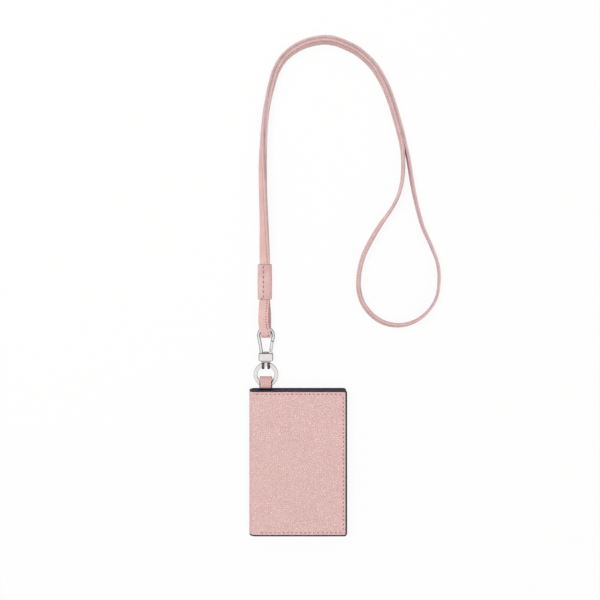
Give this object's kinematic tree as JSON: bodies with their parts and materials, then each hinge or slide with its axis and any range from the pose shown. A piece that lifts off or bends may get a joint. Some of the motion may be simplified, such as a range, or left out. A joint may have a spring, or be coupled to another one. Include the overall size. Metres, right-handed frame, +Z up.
{
  "type": "badge wallet with neck strap",
  "caption": "Folding leather badge wallet with card slots and a clear window, on a split ring, a swivel snap hook and a long leather neck strap.",
  "frame": {"origin": "middle of the back cover's outer face, on which the wallet lies", "axes": "+Z up, out of the front cover; +Y from the wallet's foot towards its tab, ring and hook; +X from the spine to the open edge"},
  "size_m": [0.1459, 0.3782, 0.0104],
  "materials": {
    "grained_leather": "pebbled grain, satin",
    "lining_leather": "smooth, satin",
    "edge_paint": "painted edge, slight gloss",
    "board": "pressed fibre board",
    "clear_film": "clear, glossy",
    "thread": "bonded thread",
    "nickel": "polished nickel plate",
    "spring_steel": "drawn wire",
    "strap_leather": "smooth, satin"
  },
  "bodies": {
    "back_cover": {"back_skin": "grained_leather", "back_edge": "edge_paint", "back_board": "board", "back_lining": "lining_leather", "id_frame": "lining_leather", "id_film": "clear_film", "back_thread": "thread", "tab": "grained_leather", "tab_thread": "thread"},
    "spine": {"spine_skin": "grained_leather", "spine_lining": "lining_leather"},
    "front_cover": {"front_skin": "grained_leather", "front_edge": "edge_paint", "front_board": "board", "front_lining": "lining_leather", "card_slot_1": "lining_leather", "card_slot_2": "lining_leather", "card_slot_3": "lining_leather", "front_thread": "thread"},
    "ring": {"split_ring": "nickel"},
    "swivel": {"swivel_eye": "nickel"},
    "hook": {"hook_body": "nickel", "gate_pin": "nickel", "gate_spring": "spring_steel"},
    "gate": {"gate": "nickel"},
    "strap": {"strap_bight": "strap_leather", "strap_loop": "strap_leather", "keeper": "strap_leather", "keeper_thread": "thread"}
  },
  "joints": [
    {"name": "spine_fold", "type": "hinge", "parent": "back_cover", "child": "spine", "pos_m": [-0.0363, 0, 0.0007], "axis": [0, -1, 0], "range_deg": [0, 90]},
    {"name": "cover_fold", "type": "hinge", "parent": "spine", "child": "front_cover", "pos_m": [-0.0363, 0, 0.0089], "axis": [0, -1, 0], "range_deg": [0, 90]},
    {"name": "ring_swing", "type": "hinge", "parent": "back_cover", "child": "ring", "pos_m": [-0.0244, 0.05879, 0.0041], "axis": [1, 0, 0], "range_deg": [-45, 45]},
    {"name": "eye_swing", "type": "hinge", "parent": "ring", "child": "swivel", "pos_m": [-0.0244, 0.07335, 0.0041], "axis": [1, 0, 0], "range_deg": [-45, 45]},
    {"name": "hook_swivel", "type": "hinge", "parent": "swivel", "child": "hook", "pos_m": [-0.0244, 0.0794, 0.0041], "axis": [0, 1, 0], "continuous": true},
    {"name": "gate_swing", "type": "hinge", "parent": "hook", "child": "gate", "pos_m": [-0.02085, 0.08395, 0.0041], "axis": [0, 0, 1], "range_deg": [0, 22], "stiffness_Nm_per_rad": 0.002, "springref_deg": -17.19},
    {"name": "strap_swing", "type": "hinge", "parent": "hook", "child": "strap", "pos_m": [-0.0244, 0.10014, 0.0041], "axis": [1, 0, 0], "range_deg": [-45, 45]}
  ],
  "couplings": [
    {"joint": "cover_fold", "follows": "spine_fold", "ratio": 1}
  ]
}
